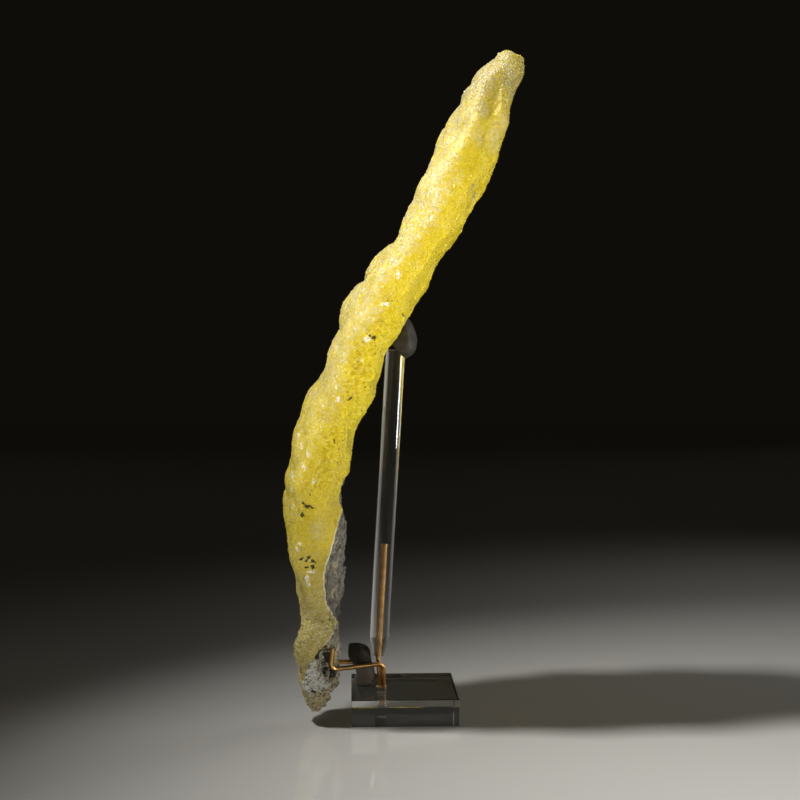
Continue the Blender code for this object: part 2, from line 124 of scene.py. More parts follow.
# How squarely a point has to face the plate's back to be matrix, and how far in from the plate's edges it has
# to lie, by height. After each, how soft and how wavy that limit is. Last, the rows in which edges are looked for.
MATRIX_FACING = 0.42
MATRIX_FACING_SOFTNESS = 0.1
MATRIX_FACING_WAVES = ((0.10, 6.0, 0.0),)
MATRIX_HEIGHTS = (46.0, 98.0, 108.0, 118.0, 126.0)
MATRIX_INSETS = (-3.0, -3.0, 6.0, 24.0, 90.0)
MATRIX_INSET_SOFTNESS = 1.5
MATRIX_INSET_WAVES = ((6.0, 11.0, 0.0), (1.5, 3.0, 0.0))
ROW_HEIGHT = 4.0

# The seam on the near edge, where the crust on the left ends and the bare matrix begins: x by height. Above the
# tip the crust ends in a pale, sharp lip, and the matrix lies lower.
SEAM_HEIGHTS = (8.0, 12.0, 18.0, 29.0, 34.0, 41.0, 48.0, 58.4, 68.9, 75.7, 90.0, 104.0, 108.0)
SEAM_PLACES = (-60.0, -47.5, -48.0, -46.5, -42.0, -36.0, -32.4, -36.3, -37.5, -36.8, -32.5, -28.3, 60.0)
SEAM_SOFTNESS = 0.3
SEAM_RAGGEDNESS = 0.35
SEAM_RAG_SIZE = 3.0
LIP_WIDTH = 0.7
LIP_HEIGHT = 0.5
STEP_DEPTH = 1.4

# Where each part of the plate begins and where it is in full, and for a range, where it ends again. By height:
TIP_SPAN = (46.0, 30.0)
COARSE_FOOT_SPAN = (78.0, 52.0)
UPPER_SPAN = (110.0, 190.0)
RIM_RANGE = (104.0, 116.0, 190.0, 206.0)
FLAKY_RANGE = (92.0, 100.0, 145.0, 165.0)
GREY_TOP_SPAN = (292.0, 305.0)
CROWN_SPAN = (304.0, 312.0)
# By how squarely a point faces the plate's back, from 1 there to -1 on its front:
FRONT_FACING = (0.45, -0.55)
DEEP_FACING = (-0.3, 0.5)
SPECK_FACING = (-0.5, 0.3)
RIM_FACING = (-0.3, 0.2)
FLAKY_FACING = (0.1, -0.4)
GREY_TOP_FACING = (-0.3, 0.3)
# By how squarely it faces the near side, and for the crown, upwards:
MARK_NEAR = (0.05, 0.45)
SEAM_NEAR = (0.1, 0.3)
RIM_NEAR = (0.0, 0.4)
FLATTER_NEAR = (0.3, 0.8)
GRAIN_NEAR = (0.1, 0.6)
FINE_NEAR = 0.45
CROWN_UP = (0.5, 0.9)
# By y:
SEAM_SIDE = (-12.0, -16.0)

# Relief: the mean of a pattern of beads, how much flatter the crust is on the near edge and coarser at the
# foot, how much the chips of the matrix count, and how broken the crown is
BEAD_MEAN = 0.7
NEAR_DOME_LOSS = 0.7
NEAR_BEAD_LOSS = 0.4
FOOT_BEAD_GAIN = 0.8
FOOT_SUGAR_GAIN = 2.2
CHIPS_TO_LEDGE = 4.0
CHIPS = 0.3
TIP_CHIPS = 0.5
CROWN_LEDGES = 1.6
CROWN_SINK = 0.6
# Falloff, ratio of one size to the next, number of sizes, offset and gain of the ridges of broken rock
RIDGES = (0.8, 2.1, 4, 0.9, 1.8)

# Within the first distance of the pad the stone keeps its plain form, and beyond the second it has its full
# relief. At the prongs' hooks a share of the relief stays.
PAD_CENTRE = (-4.5, 0.0, 181.0)
PAD_CLEARANCE = (9.0, 15.0)
HOOK_CENTRES = ((-34.2, -16.0, 30.0), (-34.3, -0.4, 30.0))
HOOK_CLEARANCE = (4.0, 8.0)
HOOK_RELIEF = 0.3

# The hollow round the front prong's end, black from its dark matrix and from painted shade, which fades in shares
# of its reach
SHADED_HOLLOW_CENTRE = (-34.8, -19.5, 31.5)
SHADED_HOLLOW_REACH = (6.0, 6.5, 7.0)
SHADED_HOLLOW_FADE = (1.0, 0.4)

# Shares of the colours that go with parts of the plate
FRONT_FROST = 0.12
UPPER_FROST = 0.5
GROOVE_FROST_LOSS = 0.4
# Deeper yellow on the back-facing side: partly the crust's own colour, partly a painted glow of light that passes
# through the plate
BACK_DEEP = 0.35
UPPER_DEEP = 0.4
# Share of olive in the patches of painted shade
SHADE_PATCH_OLIVE = 0.6
FLAKY_WHITE = 0.3
RIM_GREY = 0.3
RIM_SPECKS = 0.3
# Grey over the top: partly the broken top's matrix, partly painted shade that darkens the top
TOP_GREY = 0.3

# Colours that come in along the height: their shares, and the heights where they begin and are in full
DRIFTS = {
    "frost": ((0.12, 285.0, 306.0), (0.25, 70.0, 45.0)),
    # Olive near the top is painted shade that dulls it. Low down, olive is the foot's own duller yellow and partly
    # painted shade, darker towards the bottom
    "olive": ((0.5, 82.0, 50.0), (0.1, 150.0, 95.0), (0.2, 90.0, 78.0), (0.15, 286.0, 308.0)),
    # Painted shade: matrix grey laid over the top, which darkens it where less light falls
    "top_shade": ((0.34, 272.0, 304.0),),
    "brown": ((1.0, 19.0, 12.0),),
}

# Things seen on the near edge of the plate: what, then centre x and z, half sizes, and how far each stands
# proud or is sunk in. A plain one has no colour of its own.
MARKS = (
    # The groove below the broken top, and the rim along it
    ("deep", (44.0, 302.0, 3.0, 6.0, -0.8), (41.2, 291.0, 4.6, 7.5, -2.4), (38.0, 280.0, 5.2, 9.0, -2.4),
     (36.0, 268.0, 5.8, 10.0, -1.5), (32.4, 252.0, 5.4, 11.0, -0.8)),
    # Painted shade: greenish olive patches in the groove and on the top facet
    ("shade_patch", (35.5, 287.0, 2.6, 4.6, -0.4), (33.8, 273.5, 2.6, 4.6, -0.4), (48.6, 303.5, 3.0, 4.6, 0.0)),
    ("pale", (48.4, 293.0, 2.0, 8.0, 1.4), (45.0, 283.0, 2.2, 5.5, 1.8), (41.6, 275.0, 2.4, 6.0, 1.4)),
    ("grey", (31.8, 249.5, 1.6, 3.0, -0.3)),
    # Painted highlights: white glints on the raised faces of larger crystals
    ("white", (-4.2, 210.0, 1.3, 2.4, 0.4), (-10.0, 197.0, 2.2, 1.1, 0.4), (-18.1, 181.0, 2.2, 1.5, 0.4),
     (-20.5, 172.0, 0.9, 1.6, 0.3), (-31.9, 159.5, 0.9, 1.2, 0.3), (-31.2, 154.0, 1.2, 0.9, 0.3),
     (-37.4, 150.6, 0.8, 1.0, 0.3), (13.4, 247.0, 0.9, 1.5, 0.3), (11.3, 236.0, 0.8, 1.2, 0.3)),
    # Ragged pale flakes on the left
    ("white", (-50.6, 141.5, 1.4, 1.8, 0.5), (-50.0, 137.0, 1.5, 2.2, 0.5), (-48.3, 132.0, 1.0, 1.8, 0.4),
     (-45.2, 129.0, 1.0, 1.8, 0.3), (-46.8, 123.0, 0.8, 2.2, 0.3), (-52.6, 117.0, 1.2, 2.6, 0.4),
     (-53.4, 111.0, 0.9, 2.4, 0.3), (-42.4, 117.0, 0.8, 2.2, 0.3)),
    # Pale wrinkle
    ("white", (-51.8, 107.5, 0.7, 2.4, 0.5), (-52.8, 103.5, 0.7, 2.4, 0.5), (-54.0, 99.5, 0.7, 2.2, 0.5)),
    # Black inclusions
    ("dark", (-46.9, 105.8, 1.4, 0.7, -0.5), (-45.4, 104.4, 2.0, 1.0, -1.0),
     (-43.8, 104.0, 1.6, 0.6, -0.5), (-48.4, 100.4, 0.8, 1.2, -0.7), (-48.6, 80.0, 1.0, 1.0, -0.6),
     (-46.0, 79.4, 0.7, 0.7, -0.4), (-44.6, 80.6, 0.8, 0.7, -0.4), (-43.2, 79.0, 1.0, 0.8, -0.5),
     (-46.0, 76.4, 1.0, 0.7, -0.5), (-43.2, 76.4, 0.9, 0.8, -0.5), (-41.8, 78.2, 0.7, 0.9, -0.4),
     (-1.4, 192.5, 0.8, 0.8, -0.4), (-15.2, 182.0, 1.2, 0.8, -0.5), (-16.8, 183.0, 0.7, 0.6, -0.3),
     (-25.8, 154.6, 0.9, 1.0, -0.6), (-26.5, 146.2, 0.8, 0.7, -0.4), (-32.8, 134.8, 0.6, 0.7, -0.3)),
    # Two patches side by side, and the nodules and streak under them
    ("deep", (-46.4, 95.0, 3.6, 6.0, -0.5)),
    ("pale", (-41.0, 93.5, 3.6, 5.0, 0.2)),
    ("white", (-48.8, 86.6, 1.2, 1.2, 0.8), (-50.2, 84.2, 0.7, 1.8, 0.4), (-45.0, 74.0, 2.6, 0.7, 0.5),
     (-41.8, 75.0, 1.0, 0.7, 0.4), (-45.6, 71.0, 0.9, 2.2, 0.6), (-44.8, 68.0, 0.7, 1.6, 0.4)),
    # Low domes over the prong, the upper one granular
    ("pale", (-37.2, 45.8, 4.6, 5.2, 2.0)),
    ("plain", (-46.0, 43.0, 6.0, 7.0, 1.2)),
    # White and black parts of the bare tip
    ("chalk", (-44.0, 25.5, 4.2, 3.2, 0.6), (-41.5, 21.0, 5.0, 4.0, 0.8), (-46.0, 18.5, 3.0, 3.0, 0.4),
     (-43.5, 30.5, 1.6, 2.6, 0.3)),
    ("coal", (-38.6, 36.0, 3.6, 3.0, -0.6), (-41.6, 33.5, 1.8, 1.4, -0.4), (-36.6, 30.5, 2.2, 3.6, -0.6),
     (-38.2, 25.0, 1.4, 1.8, -0.6), (-43.0, 16.6, 1.2, 0.9, -0.5), (-34.4, 23.0, 1.6, 2.6, -0.5)),
    # Painted shade in pits along the line where the crust meets the matrix
    ("dark", (-35.6, 51.3, 0.6, 0.9, -0.8), (-34.6, 70.0, 0.8, 1.4, -0.5)),
)
MARK_RAGGEDNESS = 0.9
MARK_RAG_SIZE = 1.5
# A mark begins at the first of these and is in full at the second, in shares of its half size
MARK_FADE = (1.7, 0.3)

# Black grains in the crust: share of the surface that has them, by height
SPECK_HEIGHTS = (60.0, 80.0, 105.0, 130.0, 160.0, 200.0, 235.0)
SPECK_SHARES = (0.2, 0.5, 0.3, 0.7, 1.0, 0.6, 0.0)

# Small crystals: the paints that they take over from the crust, how much of others stops them from growing,
# how clear of the holders they have to be, their form in shares of their width, the spread of their lean, and
# how many are made at a time
GRAIN_PAINTS = ("frost", "deep", "olive")
GRAIN_LIMITS = {"matrix": 0.3, "white": 0.3, "dark": 0.2}
GRAIN_CLEARANCE = 0.9
GRAIN_SIDES = 6
GRAIN_TOP = 0.84
GRAIN_HEIGHTS = (0.35, 0.8)
GRAIN_TILT = 0.45
GRAIN_BATCH = 60

# Floor, lights and camera. A softbox has the setting that gives its power and how many times that it has, its
# spread in degrees, and whether glossy and clear pieces show it.
FLOOR_RADIUS = 3.0
FLOOR_DROP = 0.05 * MM
ROOM_COLOUR = (1.0, 0.87, 0.6)
ROOM_STRENGTH = 0.0046
LIGHT_COLOUR = (1.0, 0.975, 0.93)
Softbox = namedtuple("Softbox", "name place aim width height setting times spread mirrored")
SOFTBOXES = (
    Softbox("key light", (-0.34, -0.06, 0.9), (0.225, -0.188, 0.0), 0.08, 0.08, "key", 1.0, 50.0, True),
    Softbox("front light", (-0.12, -1.02, 0.10), (0.02, 0.0, 0.22), 0.2, 0.2, "front", 1.0, 22.0, False),
    Softbox("fill light", (0.65, -0.75, 0.10), (-0.01, 0.0, 0.2), 0.4, 0.16, "fill", 1.0, 22.0, False),
    Softbox("left light", (-0.88, -0.12, 0.12), (-0.01, 0.0, 0.22), 0.3, 0.2, "left", 1.0, 24.0, True),
    Softbox("right light", (0.88, -0.19, 0.12), (-0.01, 0.0, 0.2), 0.3, 0.2, "right", 1.0, 24.0, True),
    Softbox("back light", (0.6, 0.5, 0.6), (0.25, 0.1, 0.0), 0.4, 0.4, "back", 1.0, 60.0, True),
    Softbox("right panel", (1.37, 1.46, 0.3), (0.0, 0.66, 0.2), 1.2, 0.6, "panel", 2.8, 70.0, True),
    Softbox("left panel", (-1.37, 1.46, 0.3), (0.0, 0.66, 0.2), 1.2, 0.6, "panel", 1.7, 70.0, True),
)
CAMERA_PLACE = Vector((-24.148, -609.942, 170.944)) * MM
CAMERA_TILT = math.radians(90.0 - 1.725)
CAMERA_TURN = math.radians(-2.113)
SENSOR_WIDTH = 36.0

# The crust's index of refraction, how far red, green and blue light go in it, and the width of its sugary cells
CRUST_IOR = 1.57
GLOW_RADIUS = (1.0, 0.85, 0.12)
GRAIN_CELL = 1.1 * MM


# Meshes


def added(name, data):
    """A new object in the scene."""
    item = bpy.data.objects.new(name, data)
    bpy.context.scene.collection.objects.link(item)
    return item


def bmesh_of(mesh):
    bm = bmesh.new()
    bm.from_mesh(mesh)
    return bm


def mesh_of(name, bm):
    mesh = bpy.data.meshes.new(name)
    bm.to_mesh(mesh)
    bm.free()
    return mesh


def merged_copy(node):
    """A node's loose triangles as one closed mesh, with its quads joined again and its sharp edges creased."""
    bm = bmesh_of(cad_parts[node].data)
    bmesh.ops.remove_doubles(bm, verts=bm.verts, dist=WELD)
    bmesh.ops.join_triangles(bm, faces=bm.faces, angle_face_threshold=SHARP_ANGLE,
                             angle_shape_threshold=SHARP_ANGLE)
    crease = bm.edges.layers.float.new("crease_edge")
    for edge in bm.edges:
        edge[crease] = 1.0 if edge.calc_face_angle(0.0) > SHARP_ANGLE else 0.0
    return bm


def applied(name, data, modifiers=()):
    """A mesh or a curve as a mesh of its own, with a list of modifiers and their settings applied."""
    item = added(name, data)
    for kind, settings in modifiers:
        modifier = item.modifiers.new(kind, kind)
        for key, value in settings.items():
            setattr(modifier, key, value)
    bpy.context.view_layer.update()
    mesh = bpy.data.meshes.new_from_object(item.evaluated_get(bpy.context.evaluated_depsgraph_get()))
    bpy.data.objects.remove(item, do_unlink=True)
    return mesh


def regridded_copy(node, grid):
    """A node's solid with rounder forms, and with even faces of a given size."""
    rounder = ("SUBSURF", {"levels": 2, "render_levels": 2})
    even = ("REMESH", {"mode": "VOXEL", "voxel_size": grid})
    return applied(node, mesh_of(node, merged_copy(node)), [rounder, even])


def turned_solid(profile, sides):
    """A closed solid turned about Z. Its profile of (radius, height) points starts and ends on the axis."""
    bm = bmesh.new()
    points = [bm.verts.new((radius, 0.0, height)) for radius, height in profile]
    edges = [bm.edges.new(pair) for pair in zip(points, points[1:])]
    bmesh.ops.spin(bm, geom=points + edges, cent=(0, 0, 0), axis=(0, 0, 1), angle=2 * math.pi,
                   steps=sides, use_merge=True)
    bmesh.ops.remove_doubles(bm, verts=bm.verts, dist=WELD)
    bmesh.ops.recalc_face_normals(bm, faces=bm.faces)
    return bm


def gathered(items, field, width=1):
    """One field of a mesh's points or faces, as an array."""
    values = np.empty(len(items) * width)
    items.foreach_get(field, values)
    return values.reshape(-1, width) if width > 1 else values


def positions(mesh):
    """The mesh's points in millimetres, and their normals."""
    return gathered(mesh.vertices, "co", 3) / MM, gathered(mesh.vertex_normals, "vector", 3)


def raise_surface(mesh, points, normals, heights):
    """Moves each point along its normal. Everything is in millimetres."""
    moved = (points + normals * heights[:, None]) * MM
    mesh.vertices.foreach_set("co", moved.ravel())
    mesh.update()


def paint(mesh, name, values):
    """Writes one number per point, between 0 and 1, for the material to read."""
    layer = mesh.attributes.new(name, "FLOAT", "POINT")
    layer.data.foreach_set("value", np.clip(values, 0.0, 1.0).astype(np.float32))


def finished_piece(name, mesh, look, nodes, sharp=SHARP_ANGLE):
    """Puts a mesh in the scene in place of its solids. Its faces meet smoothly up to the sharp angle."""
    mesh.materials.clear()
    mesh.materials.append(look)
    mesh.shade_smooth()
    mesh.set_sharp_from_angle(angle=sharp)
    item = added(name, mesh)
    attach(item, "root")
    if nodes:
        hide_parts(*nodes)


# Relief


def smooth_step(low, high, value):
    """0 at low, 1 at high, which may be the lesser of the two, and smooth between."""
    t = np.clip((value - low) / (high - low), 0.0, 1.0)
    return t * t * (3.0 - 2.0 * t)


def within(low, rise, fall, high, value):
    """1 from rise to fall, and smooth down to 0 at low and at high."""
    return smooth_step(low, rise, value) * smooth_step(high, fall, value)


def sampled(pattern, points, size, shift):
    """What a pattern of a given size has at each point."""
    return np.array([pattern(Vector(point / size + shift)) for point in points])


def mottle(points, size, shift=0.0):
    """Soft noise between about -1 and 1, with patches of a given size."""
    return sampled(noise.noise, points, size, shift)


def beads(points, size, shift=0.0):
    """Rounded domes of a given size that meet in sharp creases, from 0 in the creases to 1."""
    nearest = sampled(lambda place: noise.voronoi(place)[0][0], points, size, shift)
    return 1.0 - np.clip(nearest, 0.0, 1.0) ** 2


def broken_rock(points, size, shift=0.0):
    """Ridges and hollows of broken rock, 0 on average."""
    rough = sampled(lambda place: noise.ridged_multi_fractal(place, *RIDGES), points, size, shift)
    return rough - rough.mean()


def waves(points, parts):
    """Mottles of several heights, sizes and shifts, added up."""
    return sum(height * mottle(points, size, shift) for height, size, shift in parts)


def facing_back(points, normals):
    """How squarely each point faces the plate's back, from 1 there to -1 on its crusted front."""
    lean = np.radians(np.interp(points[:, 2], LEAN_HEIGHTS, LEAN_ANGLES))
    return normals[:, 0] * np.cos(lean) - normals[:, 2] * np.sin(lean)


def inset(points):
    """How far in each point lies from the plate's near or far edge, in millimetres."""
    levels = np.arange(points[:, 2].min(), points[:, 2].max(), ROW_HEIGHT)
    rows = np.digitize(points[:, 2], levels) - 1
    near = np.array([points[rows == row, 1].min() for row in range(len(levels))])
    far = np.array([points[rows == row, 1].max() for row in range(len(levels))])
    middle = levels + ROW_HEIGHT / 2
    return np.minimum(points[:, 1] - np.interp(points[:, 2], middle, near),
                      np.interp(points[:, 2], middle, far) - points[:, 1])


def clear_of_holders(points):
    """Less than 1 where the stone rests on the pad or the prongs, and 1 away from them."""
    from_pad = np.linalg.norm(points - np.array(PAD_CENTRE), axis=1)
    from_hooks = np.minimum(*(np.linalg.norm(points - np.array(centre), axis=1) for centre in HOOK_CENTRES))
    at_hooks = HOOK_RELIEF + (1.0 - HOOK_RELIEF) * smooth_step(*HOOK_CLEARANCE, from_hooks)
    return smooth_step(*PAD_CLEARANCE, from_pad) * at_hooks


def mark_strengths(points, normals):
    """How strongly each kind of mark is on each point, and the height that all the marks add."""
    across = points[:, 0] + MARK_RAGGEDNESS * mottle(points, MARK_RAG_SIZE)
    level = points[:, 2] + MARK_RAGGEDNESS * mottle(points, MARK_RAG_SIZE, shift=8.3)
    near = smooth_step(*MARK_NEAR, -normals[:, 1]) * (points[:, 1] < 0.0)
    strengths = {kind: np.zeros(len(points)) for kind, *rows in MARKS}
    height = np.zeros(len(points))
    for kind, *rows in MARKS:
        for x, z, half_x, half_z, rise in rows:
            away = np.hypot((across - x) / half_x, (level - z) / half_z)
            strength = smooth_step(*MARK_FADE, away) * near
            strengths[kind] = np.maximum(strengths[kind], strength)
            height += strength * rise
    return strengths, height


# Materials


class Value:
    """A socket of a material that ordinary arithmetic works on."""

    def __init__(self, look, socket):
        self.look = look
        self.socket = socket

    def __add__(self, other):
        return self.look.maths("ADD", self, other)

    __radd__ = __add__

    def __sub__(self, other):
        return self.look.maths("SUBTRACT", self, other)

    def __rsub__(self, other):
        return self.look.maths("SUBTRACT", other, self)

    def __mul__(self, other):
        return self.look.maths("MULTIPLY", self, other)

    __rmul__ = __mul__

    def swing(self, amount):
        """Noise about 0 in place of 0.5, times an amount."""
        return (self - 0.5) * amount


def solid(tone):
    """A plain colour with its alpha, or a socket as it is."""
    return tone if isinstance(tone, Value) else (*tone, 1.0)


def called(sockets, name):
    """The first socket with this identifier or name."""
    return next(each for each in sockets if name in (each.identifier, each.name))


class Look:
    """A material in the making."""

    def __init__(self, name):
        self.material = bpy.data.materials.new(name)
        self.material.use_nodes = True
        self.tree = self.material.node_tree
        self.tree.nodes.clear()
        self.place = self.add("ShaderNodeTexCoord", output="Object")

    def add(self, kind, settings=None, sockets=None, output=None):
        """Adds a node, with its settings first and then its sockets' values or links. Gives an output."""
        node = self.tree.nodes.new(kind)
        for key, value in (settings or {}).items():
            setattr(node, key, value)
        for key, value in (sockets or {}).items():
            if isinstance(value, Value):
                self.tree.links.new(value.socket, called(node.inputs, key))
            else:
                called(node.inputs, key).default_value = value
        return Value(self, called(node.outputs, output) if output else node.outputs[0])

    def maths(self, operation, first, second):
        return self.add("ShaderNodeMath", {"operation": operation}, {"Value": first, "Value_001": second})

    def band(self, value, low, high):
        """0 below low, 1 above high, and smooth between."""
        return self.add("ShaderNodeMapRange", {"interpolation_type": "SMOOTHSTEP"},
                        {"Value": value, "From Min": low, "From Max": high})

    def mix(self, share, first, second):
        """A colour between two."""
        return self.add("ShaderNodeMix", {"data_type": "RGBA"},
                        {"Factor_Float": share, "A_Color": solid(first), "B_Color": solid(second)},
                        "Result_Color")

    def coated(self, tone, *coats):
        """A colour with others laid over it in turn, each with its share."""
        for share, coat in coats:
            tone = self.mix(share, tone, coat)
        return tone

    def either(self, share, first, second):
        """A shader between two."""
        return self.add("ShaderNodeMixShader", {}, {"Fac": share, "Shader": first, "Shader_001": second})

    def painted(self, name):
        """A number that the mesh carries at each point."""
        return self.add("ShaderNodeAttribute", {"attribute_name": name}, output="Fac")

    def stretched(self, scale, turn=(0.0, 0.0, 0.0)):
        """The place on the piece, scaled and turned, for a pattern with a direction."""
        return self.add("ShaderNodeMapping", {}, {"Vector": self.place, "Scale": scale, "Rotation": turn})

    def distance(self, scale, spot):
        """How far the place on the piece, scaled, lies from a spot."""
        return self.add("ShaderNodeVectorMath", {"operation": "DISTANCE"},
                        {"Vector": self.stretched(scale), "Vector_001": spot}, "Value")

    def noise(self, size, detail=2.0, roughness=0.5, place=None):
        return self.add("ShaderNodeTexNoise", {}, {"Vector": place or self.place, "Scale": 1.0 / size,
                                                   "Detail": detail, "Roughness": roughness}, "Fac")

    def cells(self, size, output="Distance"):
        return self.add("ShaderNodeTexVoronoi", {}, {"Vector": self.place, "Scale": 1.0 / size}, output)

    def bump(self, height, distance):
        return self.add("ShaderNodeBump", {}, {"Height": height, "Distance": distance, "Strength": 1.0})

    def principled(self, **sockets):
        return self.add("ShaderNodeBsdfPrincipled", {},
                        {key.replace("_", " "): value for key, value in sockets.items()})

    def finish(self, shader):
        output = self.tree.nodes.new("ShaderNodeOutputMaterial")
        self.tree.links.new(shader.socket, output.inputs["Surface"])
        return self.material


def crust_colour(look, settings):
    """Yellow of the crust, paler where it is frosted, with a tone of its own in each small grain."""
    patches = look.noise(8.0 * MM)
    clouds = look.noise(3.2 * MM)
    fine = look.noise(1.4 * MM, 3.0, 0.6)
    grain = look.cells(GRAIN_CELL, "Color")
    frost = look.painted("frost") + patches.swing(0.8) + clouds.swing(1.2) + fine.swing(1.2)
    frost = frost + grain.swing(look.painted("olive") * 1.8 + 0.3)
    deep = look.painted("deep") + patches.swing(0.5) + grain.swing(0.4)
    # White specks on the frosted crust: partly pale grains, partly painted sparkle
    sugar = look.band(look.noise(0.9 * MM, 1.0) + grain.swing(0.3), 0.6, 0.72)
    return look.coated(settings.lemon,
                       (look.band(deep, 0.15, 0.95), settings.deep),
                       (look.painted("olive"), settings.olive),
                       (look.band(frost, 0.1, 1.05), settings.frost),
                       # Painted sparkle, with pale grains, in white
                       (sugar * (look.painted("frost") * 0.8 + 0.04), settings.white))


def crust_shader(look, settings):
    """The crust with its stains and specks. Light passes through it, but less where it is olive and earthy."""
    fine = look.noise(1.1 * MM, 3.0, 0.65)
    finest = look.noise(0.6 * MM, 2.0, 0.6)
    specks = look.band(look.cells(2.6 * MM) + look.noise(0.8 * MM) * 0.15, 0.26, 0.17)
    specks = specks * look.band(look.painted("specks") * look.noise(7.0 * MM, 1.0), 0.2, 0.36)
    pale = look.painted("pale") * (0.25 + fine * 0.8)
    grey = look.band(look.painted("grey") + fine.swing(0.6), 0.3, 0.7)
    lip = look.band(look.painted("lip") + fine.swing(0.8), 0.35, 0.8)
    # White: real white flakes and patches, and painted highlights on the faces of larger crystals
    white = look.band(look.painted("white") * 0.9 + fine.swing(2.8) + finest.swing(1.6), 0.6, 0.8)
    dark = look.band(look.painted("dark") + fine.swing(1.1) + finest.swing(0.7) + specks, 0.5, 0.68)
    tone = look.coated(crust_colour(look, settings),
                       (pale, settings.frost),
                       # Painted shade over the top, in the grey of the matrix
                       (look.painted("top_shade"), settings.matrix),
                       (grey, settings.matrix),
                       (lip * 0.7, settings.white),
                       (white * 0.9, settings.white),
                       (dark * 0.9, settings.black))
    sugar = look.cells(GRAIN_CELL) * (look.painted("olive") * 2.4 + 0.8)
    bump = look.bump(finest * 0.7 - sugar + fine * 0.8, 0.35 * MM)
    glitter = look.band(look.cells(GRAIN_CELL, "Color"), 0.7, 0.76) * 0.25
    clear = look.principled(Base_Color=tone, Roughness=0.5 - glitter, Normal=bump, IOR=CRUST_IOR,
                            Subsurface_Weight=settings.glow, Subsurface_Radius=GLOW_RADIUS,
                            Subsurface_Scale=settings.glow_depth)
    earthy = look.principled(Base_Color=tone, Roughness=0.55 - glitter, Normal=bump, IOR=CRUST_IOR)
    return look.either(look.painted("olive") * 0.9, clear, earthy)


def matrix_shader(look, settings):
    """Dull grey rock, with more white, black and brown in it at the plate's tip."""
    tip = look.painted("tip")
    ledges = look.noise(2.2 * MM, 5.0, 0.7)
    streaks = look.noise(2.4 * MM, 4.0, 0.6, look.stretched((1.0, 1.0, 0.35)))
    rusty = look.noise(6.0 * MM, 3.0)
    stains = look.noise(1.8 * MM, 4.0, 0.65)
    flecks = look.noise(1.2 * MM, 3.0, 0.6)
    crumbs = look.noise(1.0 * MM, 5.0, 0.75).swing(3.6)
    rock = look.coated(settings.matrix,
                       (look.band(streaks, 0.42, 0.62), settings.matrix_dark),
                       (look.band(rusty, 0.56, 0.7) * 0.6, settings.rust),
                       (tip * look.band(ledges, 0.36, 0.56) * 0.62, settings.white),
                       (look.band(ledges + tip * 0.06, 0.54, 0.68) * (0.35 + tip * 0.4), settings.white),
                       (tip * look.band(stains, 0.42, 0.6) * 0.7, settings.olive),
                       (look.painted("brown") * look.band(ledges, 0.25, 0.5) * 0.9, settings.rust),
                       (look.band(look.painted("chalk") + crumbs, 0.3, 0.9) * 0.97, settings.white),
                       (look.band(flecks + tip * 0.07, 0.62, 0.70) * 0.88, settings.black),
                       (look.band(look.painted("coal") - crumbs * 0.8, 0.35, 0.7) * 0.93, settings.black),
                       # Painted shade, over dark matrix, in the hollow round the front prong's end
                       (look.painted("hollow"), settings.black))
    bump = look.bump(look.noise(0.9 * MM, 4.0, 0.7) + look.cells(1.8 * MM) * 0.5, 0.8 * MM)
    return look.principled(Base_Color=rock, Roughness=0.78, Normal=bump, Specular_IOR_Level=0.35)


def brucite_look(settings):
    """Yellow crust over dull grey matrix."""
    look = Look("brucite")
    bare = look.band(look.painted("matrix") + look.noise(1.6 * MM, 3.0).swing(0.5), 0.42, 0.58)
    return look.finish(look.either(bare, crust_shader(look, settings), matrix_shader(look, settings)))


def grain_look(settings):
    """The small clear-edged crystals of the crust."""
    look = Look("crust grains")
    scratches = look.bump(look.noise(0.5 * MM, 2.0, 0.6), 0.05 * MM)
    return look.finish(look.principled(Base_Color=crust_colour(look, settings), Normal=scratches,
                                       IOR=CRUST_IOR, Roughness=look.noise(2.0 * MM, 1.0) * 0.4 + 0.12))


def clear_look(name, settings, frosting):
    """Polished acrylic. Frosting is a function that gives where a drill or a saw left the surface matte."""
    look = Look(name)
    smears = look.band(look.noise(14.0 * MM, 3.0), 0.45, 0.75) * 0.02
    scratches = look.bump(look.noise(3.0 * MM, 3.0, 0.6, look.stretched((1.0, 1.0, 6.0))), 0.001 * MM)
    roughness = smears + settings.polish + frosting(look) * settings.frosting
    return look.finish(look.principled(Base_Color=solid(settings.tint), Roughness=roughness, IOR=settings.ior,
                                       Transmission_Weight=1.0 - settings.haze, Normal=scratches))


def hole_frosting(look):
    """1 on the wall and floor of the block's drilled hole."""
    return look.band(look.distance((1.0, 1.0, 0.0), (HOLE_X, 0.0, 0.0)), *HOLE_FROSTING)


def foot_frosting(look):
    """1 on the tapered foot of the rod, which was sawn and not polished."""
    return look.band(look.distance((0.0, 0.0, 1.0), (0.0, 0.0, ROD_FOOT.z)), *FOOT_FROSTING)


def copper_look(settings):
    """Drawn copper wire with a warm varnish-like tarnish."""
    look = Look("copper wire")
    tarnish = look.band(look.noise(5.0 * MM, 3.0), 0.4, 0.7)
    draw_lines = look.noise(0.5 * MM, 2.0, 0.6, look.stretched((0.4, 1.0, 0.4)))
    return look.finish(look.principled(Base_Color=look.mix(tarnish, settings.copper, settings.tarnish),
                                       Metallic=1.0, Roughness=0.26 + look.noise(4.0 * MM) * 0.1,
                                       Normal=look.bump(draw_lines, 0.004 * MM)))


